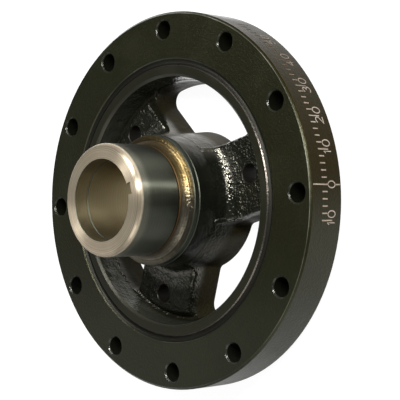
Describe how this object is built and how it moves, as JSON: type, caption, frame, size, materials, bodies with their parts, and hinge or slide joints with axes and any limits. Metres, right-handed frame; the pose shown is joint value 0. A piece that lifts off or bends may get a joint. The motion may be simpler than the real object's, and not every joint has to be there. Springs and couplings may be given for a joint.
{
  "type": "harmonic balancer",
  "caption": "Crankshaft harmonic balancer: spoked cast hub with a long keyed nose, bonded elastomer ring and an outer inertia ring with a timing scale.",
  "frame": {"origin": "centre of the bore in the hub's front face, which takes the crank pulley and on which the part rests", "axes": "+Z along the bore towards the nose; +X near the first spoke, the keyway and the zero line of the timing scale"},
  "size_m": [0.165, 0.165, 0.0613],
  "materials": {
    "cast_hub": "black enamel over rough cast iron, with the nose and bore turned bright",
    "elastomer": "matte moulded rubber",
    "inertia_ring": "satin black coating on turned cast iron, with pale filled timing marks"
  },
  "bodies": {
    "root": {"hub": "cast_hub", "elastomer_ring": "elastomer", "inertia_ring": "inertia_ring"}
  },
  "joints": []
}
